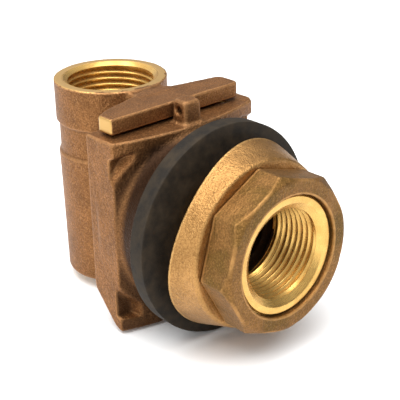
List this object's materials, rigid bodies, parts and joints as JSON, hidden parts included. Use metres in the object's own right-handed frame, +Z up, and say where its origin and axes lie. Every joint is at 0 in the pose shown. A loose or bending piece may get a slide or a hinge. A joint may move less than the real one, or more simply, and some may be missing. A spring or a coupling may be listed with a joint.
{
  "type": "pitless adapter",
  "caption": "Drop-in well pitless adapter: lift-out tube with a dovetail wedge in a fixed plate whose threaded nozzle carries a gasket, saddle ring and octagonal nut.",
  "frame": {"origin": "centre of the outlet thread's mouth, on the nozzle's axis", "axes": "-Y out of the outlet, +Z up along the lift tube, +X to the right as seen from the outlet's side"},
  "size_m": [0.0716, 0.1066, 0.0758],
  "materials": {
    "cast_bronze": "as-cast bronze, sand texture, with machined gold faces and threads",
    "ring_bronze": "as-cast bronze, tumbled, fine pores",
    "nut_bronze": "as-cast bronze, dull, olive patina",
    "gasket_rubber": "matte black moulded rubber",
    "seal_rubber": "smooth black rubber"
  },
  "bodies": {
    "fixed_half": {"casing_body": "cast_bronze"},
    "lift_out_half": {"drop_body": "cast_bronze", "port_o_ring": "seal_rubber"},
    "gasket": {"casing_gasket": "gasket_rubber"},
    "saddle_ring": {"compression_ring": "ring_bronze"},
    "nut": {"lock_nut": "nut_bronze"}
  },
  "joints": [
    {"name": "lift_out", "type": "slide", "parent": "fixed_half", "child": "lift_out_half", "axis": [0, 0, 1], "range_m": [0, 0.09]},
    {"name": "gasket_slide", "type": "slide", "parent": "fixed_half", "child": "gasket", "axis": [0, -1, 0], "range_m": [0, 0.001]},
    {"name": "ring_slide", "type": "slide", "parent": "fixed_half", "child": "saddle_ring", "axis": [0, -1, 0], "range_m": [-0.0012, 0.01]},
    {"name": "nut_turn", "type": "hinge", "parent": "saddle_ring", "child": "nut", "pos_m": [0, 0, 0], "axis": [0, -1, 0], "range_deg": [-180, 1620]}
  ],
  "couplings": [
    {"joint": "ring_slide", "follows": "nut_turn", "m_per_rad": 0.00035152}
  ]
}
